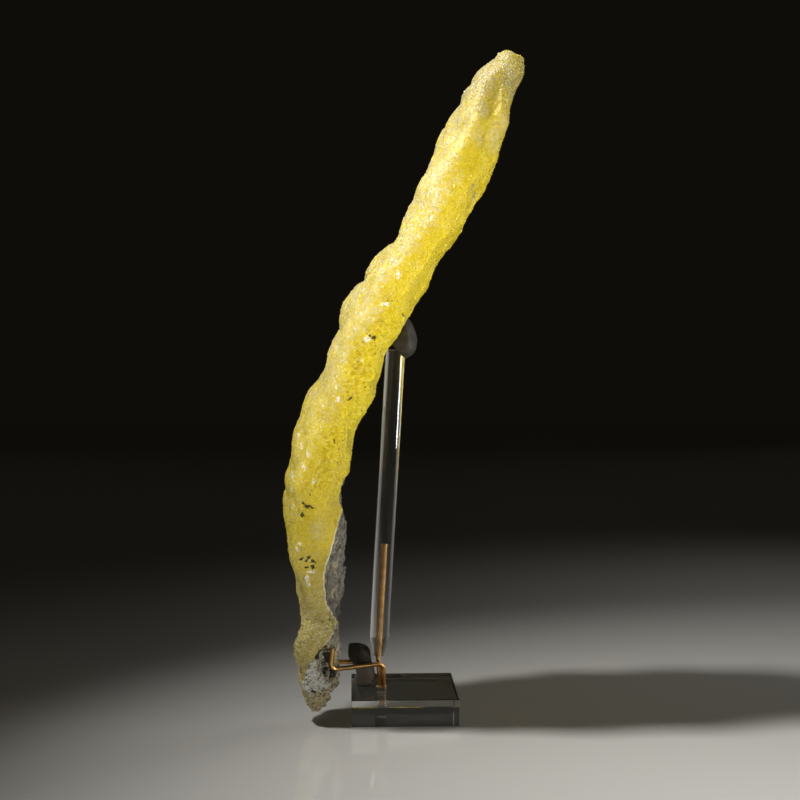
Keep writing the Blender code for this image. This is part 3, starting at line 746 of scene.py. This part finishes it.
def putty_look(name, light, shadow_share, brown, ridge_turn):
    """Hand-pressed putty with the soft ridges that fingers leave. In patches it is a share as light."""
    look = Look(name)
    patches = look.noise(4.0 * MM, 3.0)
    tone = look.coated(light,
                       (look.band(patches, 0.35, 0.65), [part * shadow_share for part in light]),
                       # Painted light: the lighter, browner band low on the lump
                       (look.painted("low") * (patches + 0.4), brown))
    ridges = look.add("ShaderNodeTexWave", {"wave_type": "BANDS", "bands_direction": "X"},
                      {"Vector": look.stretched((1.0, 1.0, 1.0), ridge_turn),
                       "Scale": 1.0 / (RIDGE_GAP * BANDS_TO_METRE), "Distortion": 1.2, "Detail": 1.0,
                       "Detail Scale": 0.3}, "Fac")
    grit = look.noise(0.7 * MM, 3.0, 0.6)
    return look.finish(look.principled(Base_Color=tone, Roughness=0.5 + patches * 0.2,
                                       Normal=look.bump(ridges * 0.6 + grit * 0.5, 0.12 * MM)))


def floor_look(settings):
    """A plain pale sheet with a soft sheen."""
    look = Look("pale floor")
    return look.finish(look.principled(Base_Color=solid(settings.floor), Specular_IOR_Level=0.5,
                                       Roughness=look.noise(0.05) * 0.03 + 0.035))


# Settings


def length(name, description, default):
    return FloatProperty(name=name, description=description, default=default, min=0.0, subtype="DISTANCE",
                         unit="LENGTH", precision=5)


def share(name, description, default):
    return FloatProperty(name=name, description=description, default=default, min=0.0, max=1.0,
                         subtype="FACTOR")


def power(name, description, default):
    return FloatProperty(name=name, description=description, default=default, min=0.0, unit="POWER")


def colour(name, description, default):
    return FloatVectorProperty(name=name, description=description, default=default, size=3, min=0.0, max=1.0,
                               subtype="COLOR")


class StoneSettings(bpy.types.PropertyGroup):
    """Relief and colours of the stone."""

    grid: length("Grid", "Size of the faces of the stone's surface", 1.06 * MM)
    dome_size: length("Dome size", "Width of the domes of the crust", 9.0 * MM)
    dome_height: length("Dome height", "Height of those domes", 1.3 * MM)
    bead_size: length("Bead size", "Width of the beads on the domes", 3.4 * MM)
    bead_height: length("Bead height", "Height of those beads", 0.55 * MM)
    sugar_size: length("Sugar size", "Width of the sugary grains", 1.5 * MM)
    sugar_height: length("Sugar height", "Height of those grains", 0.3 * MM)
    rim_size: length("Rim size", "Width of the steps along the ragged rim", 3.0 * MM)
    rim_height: length("Rim height", "Height of those steps", 1.5 * MM)
    rock_size: length("Rock size", "Width of the ledges of the matrix", 8.0 * MM)
    rock_height: length("Rock height", "Height of those ledges", 1.5 * MM)
    glow: share("Glow", "How much light passes through the crust near its surface", 0.85)
    glow_depth: length("Glow depth", "How far that light goes", 8.0 * MM)
    lemon: colour("Lemon", "Main yellow of the crust", (0.65, 0.508, 0.020))
    # Deep yellow also lies on the back-facing side, partly as a painted glow
    deep: colour("Deep yellow", "Yellow of grooves and hollows", (0.64, 0.497, 0.010))
    frost: colour("Frost", "Pale crests of the crust", (0.625, 0.538, 0.235))
    olive: colour("Olive", "Duller yellow of the plate's foot", (0.57, 0.475, 0.165))
    # White also paints highlights: the glints on crystal faces and the sparkle of small grains
    white: colour("White", "Bright crystal faces and white patches", (0.86, 0.84, 0.76))
    black: colour("Black", "Black inclusions", (0.015, 0.013, 0.012))
    matrix: colour("Matrix", "Grey of the matrix", (0.27, 0.25, 0.20))
    matrix_dark: colour("Dark matrix", "Dark streaks in the matrix", (0.09, 0.085, 0.075))
    rust: colour("Rust", "Brown stains on the matrix", (0.74, 0.62, 0.37))


class GrainSettings(bpy.types.PropertyGroup):
    """Small crystals on the crust."""

    count: IntProperty(name="Count", description="Number of small crystals", default=7500, min=0)
    smallest: length("Smallest", "Width of the smallest crystals", 0.4 * MM)
    largest: length("Largest", "Width of the largest crystals", 0.9 * MM)
    crowding: FloatProperty(name="Crowding", description="How many times more crystals grow on the near edge",
                            default=4.0, min=0.0)
    seed: IntProperty(name="Seed", description="Changes where the crystals lie", default=5)


class StandSettings(bpy.types.PropertyGroup):
    """Clear block and rod, wires and putty."""

    ior: FloatProperty(name="IOR", description="Index of refraction of the acrylic", default=1.49, min=1.0)
    tint: colour("Tint", "Colour of the acrylic", (0.97, 0.975, 0.965))
    haze: share("Haze", "Share of the light that dust and fine scratches on the acrylic scatter", 0.006)
    polish: share("Polish", "Roughness of the polished faces", 0.005)
    frosting: share("Frosting", "Roughness that the drill and the saw leave", 0.4)
    edge: length("Edge", "Width of the block's eased edges", 0.4 * MM)
    copper: colour("Copper", "Bright copper", (0.90, 0.53, 0.20))
    tarnish: colour("Tarnish", "Darker copper", (0.66, 0.36, 0.12))
    putty: colour("Putty", "Putty of the pad", (0.027, 0.0235, 0.0175))
    # Painted light: the lighter, browner band low on the lump, where it is lit
    putty_lit_band: colour("Brown putty", "Browner putty low on the lump", (0.13, 0.108, 0.082))
    putty_dark: colour("Dark putty", "Putty of the lump on the block", (0.034, 0.028, 0.022))


class StageSettings(bpy.types.PropertyGroup):
    """Floor, lights and camera."""

    floor: colour("Floor", "Pale floor", (0.70, 0.695, 0.68))
    lens: FloatProperty(name="Lens", description="Focal length in millimetres", default=56.5925, min=1.0)
    key: power("Key light", "Power of the main light, high on the left", 0.785)
    front: power("Front light", "Power of the narrow light on the stone's near edge", 0.235)
    fill: power("Fill light", "Power of the light from the right of the front", 0.04)
    left: power("Left light", "Power of the light at the left, on the stone's side", 0.07)
    right: power("Right light", "Power of the light at the right, on the stone's side", 0.138)
    back: power("Back light", "Power of the light behind, on the floor at the right", 0.165)
    panel: power("Side panels", "Power of each pale panel that the rod and the block mirror", 0.06)


# Pieces

# What the stone's surface is like at each of its points: places in millimetres, and shares of each part
Plate = namedtuple("Plate", "points normals level facing matrix tip lip rim marks mark_height")


class BRUCITE_OT_build_stone(bpy.types.Operator):
    """Builds the brucite plate with its crust, its matrix and the marks of the real one"""

    bl_idname = "brucite.build_stone"
    bl_label = "Stone"

    def execute(self, context):
        settings = context.scene.stone
        mesh = regridded_copy("brucite", settings.grid)
        self.refine_near_edge(mesh)
        plate = self.survey(mesh)
        height = self.relief(plate, settings) * clear_of_holders(plate.points)
        raise_surface(mesh, plate.points, plate.normals, height)
        for name, values in self.paints(plate).items():
            paint(mesh, name, values)
        finished_piece("brucite_stone", mesh, brucite_look(settings), ["brucite"])
        self.grow_grains(mesh, context.scene.grains, settings)
        return {"FINISHED"}

    def refine_near_edge(self, mesh):
        """Halves the faces on the near edge, which shows the finest marks."""
        bm = bmesh_of(mesh)
        near = [face for face in bm.faces if face.normal.y < -FINE_NEAR]
        edges = list({edge for face in near for edge in face.edges})
        bmesh.ops.subdivide_edges(bm, edges=edges, cuts=1, use_grid_fill=True)
        bmesh.ops.triangulate(bm, faces=[face for face in bm.faces if len(face.verts) > 4])
        bm.to_mesh(mesh)
        bm.free()

    def survey(self, mesh):
        """Which part of the plate each point lies on."""
        points, normals = positions(mesh)
        level = points[:, 2]
        facing = facing_back(points, normals)
        matrix, tip, lip = self.kinds(points, normals, facing)
        rim = within(*RIM_RANGE, level) * smooth_step(*RIM_FACING, facing) * (1.0 - matrix)
        rim *= smooth_step(*RIM_NEAR, -normals[:, 1])
        return Plate(points, normals, level, facing, matrix, tip, lip, rim, *mark_strengths(points, normals))

    def kinds(self, points, normals, facing):
        """Shares at each point of the matrix, of the pointed foot and of the lip along the seam."""
        facing = facing - MATRIX_FACING + waves(points, MATRIX_FACING_WAVES)
        inner = inset(points) - np.interp(points[:, 2], MATRIX_HEIGHTS, MATRIX_INSETS)
        inner = inner + waves(points, MATRIX_INSET_WAVES)
        back = smooth_step(-MATRIX_FACING_SOFTNESS, MATRIX_FACING_SOFTNESS, facing)
        back = back * smooth_step(-MATRIX_INSET_SOFTNESS, MATRIX_INSET_SOFTNESS, inner)
        tip = smooth_step(*TIP_SPAN, points[:, 2])
        near = smooth_step(*SEAM_NEAR, -normals[:, 1]) * smooth_step(*SEAM_SIDE, points[:, 1])
        past_seam = points[:, 0] - np.interp(points[:, 2], SEAM_HEIGHTS, SEAM_PLACES)
        past_seam += (SEAM_RAGGEDNESS + tip) * mottle(points, SEAM_RAG_SIZE)
        matrix = back + (smooth_step(-SEAM_SOFTNESS, SEAM_SOFTNESS, past_seam) - back) * near
        lip = smooth_step(LIP_WIDTH, 0.0, np.abs(past_seam + LIP_WIDTH)) * near
        return matrix, tip, lip * (1.0 - tip)

    def relief(self, plate, settings):
        """How far each point rises or sinks, in millimetres."""
        domes = beads(plate.points, settings.dome_size / MM) - BEAD_MEAN
        small = beads(plate.points, settings.bead_size / MM, shift=3.7) - BEAD_MEAN
        sugar = beads(plate.points, settings.sugar_size / MM, shift=9.1) - BEAD_MEAN
        ledges = broken_rock(plate.points, settings.rock_size / MM)
        chips = broken_rock(plate.points, settings.rock_size / MM / CHIPS_TO_LEDGE, shift=2.3)
        steps = broken_rock(plate.points, settings.rim_size / MM, shift=6.1)
        near = smooth_step(*FLATTER_NEAR, -plate.normals[:, 1])
        foot = smooth_step(*COARSE_FOOT_SPAN, plate.level)
        crown = smooth_step(*CROWN_UP, plate.normals[:, 2]) * smooth_step(*CROWN_SPAN, plate.level)
        crust = (domes * settings.dome_height * (1.0 - NEAR_DOME_LOSS * near)
                 + small * settings.bead_height * (1.0 - NEAR_BEAD_LOSS * near + FOOT_BEAD_GAIN * foot)
                 + sugar * settings.sugar_height * (1.0 + FOOT_SUGAR_GAIN * foot)) / MM
        rock = (ledges + chips * (CHIPS + TIP_CHIPS * plate.tip)) * settings.rock_height / MM
        rock = rock - STEP_DEPTH * (1.0 - plate.tip)
        height = crust * (1.0 - plate.matrix) + rock * plate.matrix + plate.mark_height + plate.lip * LIP_HEIGHT
        height = height + crown * (ledges * CROWN_LEDGES - CROWN_SINK)
        return height + plate.rim * steps * settings.rim_height / MM

    def paints(self, plate):
        """How much of each colour is on each point."""
        level, facing, marks = plate.level, plate.facing, plate.marks
        drifts = {kind: sum(share * smooth_step(start, full, level) for share, start, full in rows)
                  for kind, rows in DRIFTS.items()}
        upper = smooth_step(*UPPER_SPAN, level)
        front = smooth_step(*FRONT_FACING, facing) * (FRONT_FROST + UPPER_FROST * upper)
        # Deeper yellow on the side facing the back: partly the crust's own colour, partly a painted glow of light
        # that passes through the plate
        back = smooth_step(*DEEP_FACING, facing) * (BACK_DEEP + UPPER_DEEP * upper)
        speckled = np.interp(level, SPECK_HEIGHTS, SPECK_SHARES) * smooth_step(*SPECK_FACING, facing)
        # Grey patches over the top: partly the broken top's matrix, partly painted shade that darkens the top
        grey_top = smooth_step(*GREY_TOP_SPAN, level) * smooth_step(*GREY_TOP_FACING, facing)
        flaky = within(*FLAKY_RANGE, level) * smooth_step(*FLAKY_FACING, facing) * (plate.points[:, 1] < 0.0)
        from_hollow = (plate.points - np.array(SHADED_HOLLOW_CENTRE)) / np.array(SHADED_HOLLOW_REACH)
        return {
            "matrix": plate.matrix,
            "tip": plate.tip,
            "lip": plate.lip,
            "frost": front + drifts["frost"] - GROOVE_FROST_LOSS * marks["deep"],
            "deep": back + marks["deep"],
            # The shade patches add olive as painted shade
            "olive": drifts["olive"] + SHADE_PATCH_OLIVE * marks["shade_patch"],
            # Painted shade over the top
            "top_shade": drifts["top_shade"],
            "brown": drifts["brown"],
            # Painted shade, over dark matrix, in the hollow round the front prong's end
            "hollow": smooth_step(*SHADED_HOLLOW_FADE, np.linalg.norm(from_hollow, axis=1)),
            "specks": speckled * (1.0 - plate.matrix) + RIM_SPECKS * plate.rim,
            "white": np.maximum(marks["white"], FLAKY_WHITE * flaky),
            "grey": np.maximum(marks["grey"], RIM_GREY * plate.rim + TOP_GREY * grey_top),
            **{kind: marks[kind] for kind in ("pale", "dark", "chalk", "coal")},
        }

    def grow_grains(self, stone, grains, settings):
        """Sets small six-sided crystals into the crust, more of them on the near edge."""
        rng = np.random.default_rng(grains.seed)
        centres = gathered(stone.polygons, "center", 3)
        facings = gathered(stone.polygons, "normal", 3)
        firsts = np.array([face.vertices[0] for face in stone.polygons])
        painted = {name: gathered(stone.attributes[name].data, "value")[firsts]
                   for name in (*GRAIN_LIMITS, *GRAIN_PAINTS)}
        likely = gathered(stone.polygons, "area") * (clear_of_holders(centres / MM) > GRAIN_CLEARANCE)
        for name, limit in GRAIN_LIMITS.items():
            likely *= painted[name] < limit
        likely *= 1.0 + grains.crowding * smooth_step(*GRAIN_NEAR, -facings[:, 1])
        chosen = rng.choice(len(likely), size=grains.count, replace=False, p=likely / likely.sum())
        whole = bmesh.new()
        for batch in np.array_split(chosen, max(1, grains.count // GRAIN_BATCH)):
            bm = bmesh.new()
            for face in batch:
                width = rng.uniform(grains.smallest, grains.largest)
                up = Vector(facings[face] + rng.normal(0.0, GRAIN_TILT, 3)).normalized()
                turn = up.to_track_quat("Z", "Y").to_matrix().to_4x4()
                turn = turn @ Matrix.Rotation(rng.uniform(0, 1), 4, "Z")
                bmesh.ops.create_cone(bm, cap_ends=True, segments=GRAIN_SIDES, radius1=width / 2,
                                      radius2=width * GRAIN_TOP / 2, depth=width * rng.uniform(*GRAIN_HEIGHTS),
                                      matrix=Matrix.Translation(Vector(centres[face])) @ turn)
            part = mesh_of("part", bm)
            whole.from_mesh(part)
            bpy.data.meshes.remove(part)
        mesh = mesh_of("crust_grains", whole)
        corners = len(mesh.vertices) // grains.count
        for name in GRAIN_PAINTS:
            paint(mesh, name, np.repeat(painted[name][chosen], corners))
        finished_piece("crust_grains", mesh, grain_look(settings), [], MACHINED_ANGLE)


class BRUCITE_OT_build_wires(bpy.types.Operator):
    """Bends the pin and the two prongs from copper wire"""

    bl_idname = "brucite.build_wires"
    bl_label = "Wires"

    def execute(self, context):
        look = copper_look(context.scene.stand)
        self.build("pin_wire", self.pin_path(), look, "rod_pin")
        foot, shoulder = self.hole_place(1, WIRE_END), self.hole_place(1, PRONG_SHOULDER)
        hook = [Vector(corner) * MM for corner in FRONT_PRONG_CORNERS]
        self.build("front_prong_wire", self.bent([foot, shoulder, *hook], BEND_RADIUS), look, "front_prong")
        stub = [Vector(corner) * MM for corner in REAR_PRONG_CORNERS]
        self.build("rear_prong_wire", self.bent(stub, BEND_RADIUS), look, "rear_prong")
        return {"FINISHED"}

    def hole_place(self, side, height):
        """The centre of one of the two wires in the hole: side is 1 for the prong and -1 for the pin."""
        across = Vector((math.cos(PAIR_TURN), -math.sin(PAIR_TURN), 0.0)) * PAIR_OFFSET
        return Vector((HOLE_X, 0.0, height)) + across * side

    def pin_path(self):
        turn = self.hole_place(-1, BLOCK_HEIGHT + PIN_TURN_HEIGHT)
        top = ROD_FOOT + ROD_AXIS * (BORE_DEPTH - BORE_RADIUS)
        corners = [self.hole_place(-1, WIRE_END), turn, ROD_FOOT - ROD_AXIS * WIRE_RADIUS, top]
        return self.bent(corners, PIN_BEND_RADIUS)

    def bent(self, corners, radius, steps=12):
        """The corners joined by straight runs, with each inner corner rounded to a radius."""
        path = [corners[0]]
        for before, corner, after in zip(corners, corners[1:], corners[2:]):
            back, ahead = (before - corner).normalized(), (after - corner).normalized()
            half = back.angle(ahead) / 2
            centre = corner + (back + ahead).normalized() * radius / math.sin(half)
            start = corner + back * radius / math.tan(half) - centre
            end = corner + ahead * radius / math.tan(half) - centre
            for step in range(steps + 1):
                path.append(centre + start.slerp(end, step / steps).normalized() * radius)
        path.append(corners[-1])
        return path

    def build(self, name, path, look, node):
        """A round wire along a path, with the edges of its two ends eased."""
        curve = bpy.data.curves.new(name, "CURVE")
        curve.dimensions = "3D"
        curve.bevel_depth = WIRE_RADIUS
        curve.bevel_resolution = 8
        curve.use_fill_caps = True
        spline = curve.splines.new("POLY")
        spline.points.add(len(path) - 1)
        for knot, place in zip(spline.points, path):
            knot.co = (*place, 1.0)
        bm = bmesh_of(applied(name, curve))
        bmesh.ops.remove_doubles(bm, verts=bm.verts, dist=WELD)
        bmesh.ops.recalc_face_normals(bm, faces=bm.faces)
        rims = [edge for edge in bm.edges if edge.calc_face_angle(0.0) > SHARP_ANGLE]
        bmesh.ops.bevel(bm, geom=rims, offset=WIRE_END_EDGE, affect="EDGES", segments=2, profile=0.5,
                        material=-1)
        finished_piece(name, mesh_of(name, bm), look, [node], MACHINED_ANGLE)


class BRUCITE_OT_build_clear_stand(bpy.types.Operator):
    """Builds the acrylic block and rod, with the drilled hole and bore"""

    bl_idname = "brucite.build_clear_stand"
    bl_label = "Clear block and rod"

    def execute(self, context):
        settings = context.scene.stand
        self.build_block(settings)
        self.build_rod(settings)
        return {"FINISHED"}

    def build_block(self, settings):
        cone = HOLE_RADIUS / math.tan(DRILL_POINT_ANGLE)
        profile = [(0.0, HOLE_FLOOR - cone), (HOLE_RADIUS, HOLE_FLOOR), (HOLE_RADIUS, BLOCK_HEIGHT * 2),
                   (0.0, BLOCK_HEIGHT * 2)]
        bm = turned_solid(profile, HOLE_SIDES)
        bmesh.ops.translate(bm, vec=(HOLE_X, 0.0, 0.0), verts=bm.verts)
        drill = added("drill", mesh_of("drill", bm))
        bm = bmesh.new()
        bmesh.ops.create_cube(bm, size=1.0)
        bmesh.ops.scale(bm, vec=(BLOCK_SIDE, BLOCK_SIDE, BLOCK_HEIGHT), verts=bm.verts)
        bmesh.ops.translate(bm, vec=(0.0, 0.0, BLOCK_HEIGHT / 2), verts=bm.verts)
        bmesh.ops.bevel(bm, geom=bm.edges[:], offset=settings.edge, affect="EDGES", segments=3, profile=0.5,
                        material=-1)
        drilled = ("BOOLEAN", {"operation": "DIFFERENCE", "solver": "EXACT", "object": drill})
        mesh = applied("block", mesh_of("block", bm), [drilled])
        bpy.data.objects.remove(drill, do_unlink=True)
        look = clear_look("clear block", settings, hole_frosting)
        finished_piece("clear_block", mesh, look, ["base_block"], MACHINED_ANGLE)

    def build_rod(self, settings):
        """A rod with a tapered foot. Clear cement fills its bore round the pin."""
        bore, top = WIRE_RADIUS - CEMENT_BITE, BORE_DEPTH - BORE_RADIUS - CEMENT_BITE
        profile = [(0.0, top), (bore, top), (bore, 0.0),
                   (ROD_FOOT_RADIUS, 0.0), (ROD_RADIUS, ROD_TAPER), (ROD_RADIUS, ROD_LENGTH - ROD_HEAD_EDGE),
                   (ROD_RADIUS - ROD_HEAD_ROUND, ROD_LENGTH - ROD_HEAD_ROUND),
                   (ROD_RADIUS - ROD_HEAD_EDGE, ROD_LENGTH), (0.0, ROD_LENGTH)]
        bm = turned_solid(profile, ROD_SIDES)
        turn = Euler((0.0, math.atan2(ROD_AXIS.x, ROD_AXIS.z), 0.0)).to_matrix().to_4x4()
        bmesh.ops.transform(bm, matrix=Matrix.Translation(ROD_FOOT) @ turn, verts=bm.verts)
        look = clear_look("clear rod", settings, foot_frosting)
        finished_piece("clear_rod", mesh_of("rod", bm), look, ["support_rod"], MACHINED_ANGLE)


class BRUCITE_OT_build_putty(bpy.types.Operator):
    """Builds the putty pad on the rod and the putty lump on the block"""

    bl_idname = "brucite.build_putty"
    bl_label = "Putty"

    def execute(self, context):
        settings = context.scene.stand
        pad = putty_look("pad putty", settings.putty, 0.6, settings.putty_lit_band, PAD_RIDGES)
        self.build("pad_putty", "rod_pad", pad)
        lump = putty_look("lump putty", settings.putty_dark, 0.5, settings.putty_lit_band, LUMP_RIDGES)
        self.build("lump_putty", "prong_putty", lump)
        return {"FINISHED"}

    def build(self, name, node, look):
        mesh = regridded_copy(node, PUTTY_GRID)
        points, normals = positions(mesh)
        raise_surface(mesh, points, normals, waves(points, PUTTY_WAVES))
        # The band of painted light low on the lump
        paint(mesh, "low", within(*LIT_BAND_RANGE, points[:, 2]))
        finished_piece(name, mesh, look, [node])


class BRUCITE_OT_build_stage(bpy.types.Operator):
    """Lays the floor and sets the lights and the camera"""

    bl_idname = "brucite.build_stage"
    bl_label = "Floor, lights and camera"

    def execute(self, context):
        settings = context.scene.stage
        bm = bmesh.new()
        bmesh.ops.create_circle(bm, cap_ends=True, segments=96, radius=FLOOR_RADIUS)
        bmesh.ops.translate(bm, vec=(0.0, 0.0, -FLOOR_DROP), verts=bm.verts)
        mesh = mesh_of("floor", bm)
        mesh.materials.append(floor_look(settings))
        added("floor", mesh)
        for softbox in SOFTBOXES:
            self.place_light(softbox, getattr(settings, softbox.setting) * softbox.times)
        world = bpy.data.worlds.new("dim room")
        world.use_nodes = True
        background = world.node_tree.nodes["Background"]
        background.inputs["Color"].default_value = solid(ROOM_COLOUR)
        background.inputs["Strength"].default_value = ROOM_STRENGTH
        context.scene.world = world
        context.scene.view_settings.view_transform = "Standard"
        self.place_camera(context.scene, settings)
        return {"FINISHED"}

    def place_light(self, softbox, strength):
        light = bpy.data.lights.new(softbox.name, "AREA")
        light.shape = "RECTANGLE"
        light.size = softbox.width
        light.size_y = softbox.height
        light.energy = strength
        light.color = LIGHT_COLOUR
        light.spread = math.radians(softbox.spread)
        item = added(softbox.name, light)
        item.location = softbox.place
        item.rotation_euler = (Vector(softbox.aim) - Vector(softbox.place)).to_track_quat("-Z", "Y").to_euler()
        item.visible_glossy = item.visible_transmission = softbox.mirrored

    def place_camera(self, scene, settings):
        lens = bpy.data.cameras.new("camera")
        lens.lens = settings.lens
        lens.sensor_width = SENSOR_WIDTH
        lens.dof.use_dof = False
        scene.camera = added("camera", lens)
        scene.camera.location = CAMERA_PLACE
        scene.camera.rotation_euler = Euler((CAMERA_TILT, 0.0, CAMERA_TURN))


class BRUCITE_PT_panel(bpy.types.Panel):
    """Lists the pieces in the sidebar"""

    bl_idname = "BRUCITE_PT_panel"
    bl_label = "Brucite specimen"
    bl_space_type = "VIEW_3D"
    bl_region_type = "UI"
    bl_category = "Brucite"

    def draw(self, context):
        for operator in OPERATORS:
            self.layout.operator(operator.bl_idname)
        for group in (context.scene.stone, context.scene.grains, context.scene.stand, context.scene.stage):
            box = self.layout.box()
            for name in group.__annotations__:
                box.prop(group, name)


OPERATORS = (BRUCITE_OT_build_stone, BRUCITE_OT_build_wires, BRUCITE_OT_build_clear_stand,
             BRUCITE_OT_build_putty, BRUCITE_OT_build_stage)
GROUPS = {"stone": StoneSettings, "grains": GrainSettings, "stand": StandSettings, "stage": StageSettings}
CLASSES = (*GROUPS.values(), *OPERATORS, BRUCITE_PT_panel)


def register():
    for item in CLASSES:
        bpy.utils.register_class(item)
    for name, group in GROUPS.items():
        setattr(bpy.types.Scene, name, PointerProperty(type=group))


def unregister():
    for name in GROUPS:
        delattr(bpy.types.Scene, name)
    for item in reversed(CLASSES):
        bpy.utils.unregister_class(item)


def main():
    register()
    bpy.ops.brucite.build_stone()
    bpy.ops.brucite.build_wires()
    bpy.ops.brucite.build_clear_stand()
    bpy.ops.brucite.build_putty()
    bpy.ops.brucite.build_stage()


if __name__ == "__main__":
    main()
